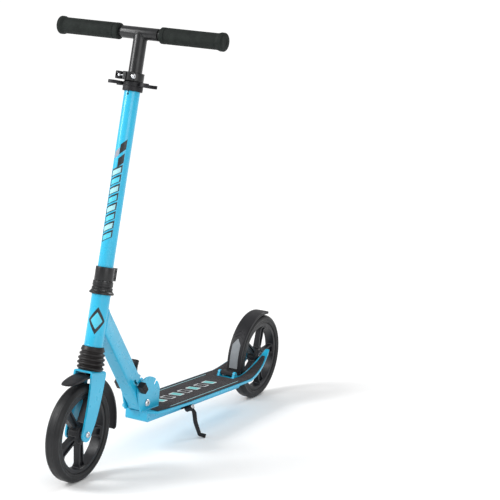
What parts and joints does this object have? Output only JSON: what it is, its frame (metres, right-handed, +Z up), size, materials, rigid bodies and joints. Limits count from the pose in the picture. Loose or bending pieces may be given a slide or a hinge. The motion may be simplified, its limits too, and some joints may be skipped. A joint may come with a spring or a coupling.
{
  "type": "kick scooter",
  "caption": "Folding kick scooter with big wheels, a sprung fork in a rubber boot, a height-adjustable T handlebar with pull-off grips, a foot brake and a side stand.",
  "frame": {"origin": "on the ground under the middle of the bounding box", "axes": "+Y points to the back of the scooter, so the rider faces -Y; +Z is up; +X is the rider's left"},
  "size_m": [0.3852, 0.9656, 0.9206],
  "materials": {
    "blue_paint": "gloss",
    "black_metal": "satin",
    "black_plastic": "satin",
    "bellows_rubber": "matte",
    "tyre_rubber": "matte",
    "grip_foam": "matte",
    "grip_tape": "grainy",
    "bright_steel": "satin",
    "grey_insert": "satin",
    "bronze_bush": "satin"
  },
  "bodies": {
    "deck": {"deck": "blue_paint", "grip_tape": "grip_tape", "fold_plate_left": "blue_paint", "fold_plate_right": "blue_paint", "fold_pivot_bolt": "bright_steel", "fold_pivot_nut": "bright_steel", "rear_axle_bolt": "bright_steel", "rear_axle_nut": "bright_steel", "rear_spacer_left": "bright_steel", "rear_spacer_right": "bright_steel", "kickstand_bracket": "black_plastic", "kickstand_screw_front": "bright_steel", "kickstand_screw_rear": "bright_steel", "kickstand_pin": "bright_steel", "fender_hinge_pin": "bright_steel"},
    "frame": {"main_frame": "blue_paint", "headset_lower_cup": "black_metal", "headset_upper_cup": "black_metal", "headset_lower_bearing": "bright_steel", "headset_upper_bearing": "bright_steel", "fold_bushing": "bronze_bush"},
    "latch": {"lock_pin": "bright_steel", "lock_cap_left": "black_plastic", "lock_cap_right": "black_plastic", "lock_lever": "black_plastic", "lock_spring": "bright_steel"},
    "steerer": {"steering_tube": "blue_paint", "steerer_tube": "bright_steel", "headset_nut": "black_metal", "lower_clamp": "black_metal", "clamp_bolt_lower": "bright_steel", "clamp_bolt_upper": "bright_steel", "upper_clamp": "black_metal", "clamp_rod": "bright_steel", "grip_holder": "black_plastic"},
    "clamp_lever": {"quick_release_lever": "black_plastic"},
    "fork_lower": {"fork": "blue_paint", "front_fender": "black_plastic", "front_axle_bolt": "bright_steel", "front_axle_nut": "bright_steel", "front_spacer_left": "bright_steel", "front_spacer_right": "bright_steel", "suspension_spring": "bright_steel", "fork_bellows": "bellows_rubber"},
    "stem": {"t_bar": "black_metal"},
    "left_grip": {"grip_tube_left": "black_metal", "grip_left": "grip_foam"},
    "right_grip": {"grip_tube_right": "black_metal", "grip_right": "grip_foam"},
    "front_wheel": {"front_tyre": "tyre_rubber", "front_wheel_core": "black_plastic", "front_bearing_left": "bright_steel", "front_bearing_right": "bright_steel"},
    "rear_wheel": {"rear_tyre": "tyre_rubber", "rear_wheel_core": "black_plastic", "rear_bearing_left": "bright_steel", "rear_bearing_right": "bright_steel"},
    "brake": {"brake_fender": "black_plastic", "fender_insert": "grey_insert"},
    "kickstand": {"kickstand_leg": "black_plastic"}
  },
  "joints": [
    {"name": "fold", "type": "hinge", "parent": "deck", "child": "frame", "pos_m": [-0.05697, -0.15312, 0.11265], "axis": [-0.9973, 0, 0.0732], "range_deg": [0, 80]},
    {"name": "lock", "type": "slide", "parent": "frame", "child": "latch", "axis": [0.0573, -0.6225, 0.7805], "range_m": [0, 0.012], "stiffness_N_per_m": 800, "springref_m": -0.006, "deforming": ["lock_spring"]},
    {"name": "steering", "type": "hinge", "parent": "frame", "child": "steerer", "pos_m": [-0.04161, -0.33108, 0.32177], "axis": [0.0719, 0.1925, 0.9787], "continuous": true},
    {"name": "suspension", "type": "slide", "parent": "steerer", "child": "fork_lower", "axis": [0.0719, 0.1925, 0.9787], "range_m": [0, 0.012], "stiffness_N_per_m": 6000, "springref_m": -0.01, "deforming": ["fork_bellows", "suspension_spring"]},
    {"name": "front_wheel_spin", "type": "hinge", "parent": "fork_lower", "child": "front_wheel", "pos_m": [-0.05788, -0.38283, 0.10017], "axis": [-0.9973, 0, 0.0732], "continuous": true},
    {"name": "rear_wheel_spin", "type": "hinge", "parent": "deck", "child": "rear_wheel", "pos_m": [-0.05788, 0.38283, 0.10017], "axis": [-0.9973, 0, 0.0732], "continuous": true},
    {"name": "bar_height", "type": "slide", "parent": "steerer", "child": "stem", "axis": [0.0719, 0.1925, 0.9787], "range_m": [-0.055, 0.2]},
    {"name": "clamp_lever", "type": "hinge", "parent": "steerer", "child": "clamp_lever", "pos_m": [-0.02646, -0.26172, 0.80795], "axis": [0.0719, 0.1925, 0.9787], "range_deg": [0, 110]},
    {"name": "left_grip_pull", "type": "slide", "parent": "stem", "child": "left_grip", "axis": [0.9973, 0, -0.0732], "range_m": [0, 0.035]},
    {"name": "right_grip_pull", "type": "slide", "parent": "stem", "child": "right_grip", "axis": [-0.9973, 0, 0.0732], "range_m": [0, 0.035]},
    {"name": "kickstand", "type": "hinge", "parent": "deck", "child": "kickstand", "pos_m": [-0.02226, 0.00319, 0.06638], "axis": [0.9149, 0.0197, 0.4031], "range_deg": [0, 80]},
    {"name": "foot_brake", "type": "hinge", "parent": "deck", "child": "brake", "pos_m": [-0.05885, 0.24415, 0.08702], "axis": [-0.9973, 0, 0.0732], "range_deg": [0, 2.5], "stiffness_Nm_per_rad": 3, "springref_deg": -5.73}
  ]
}
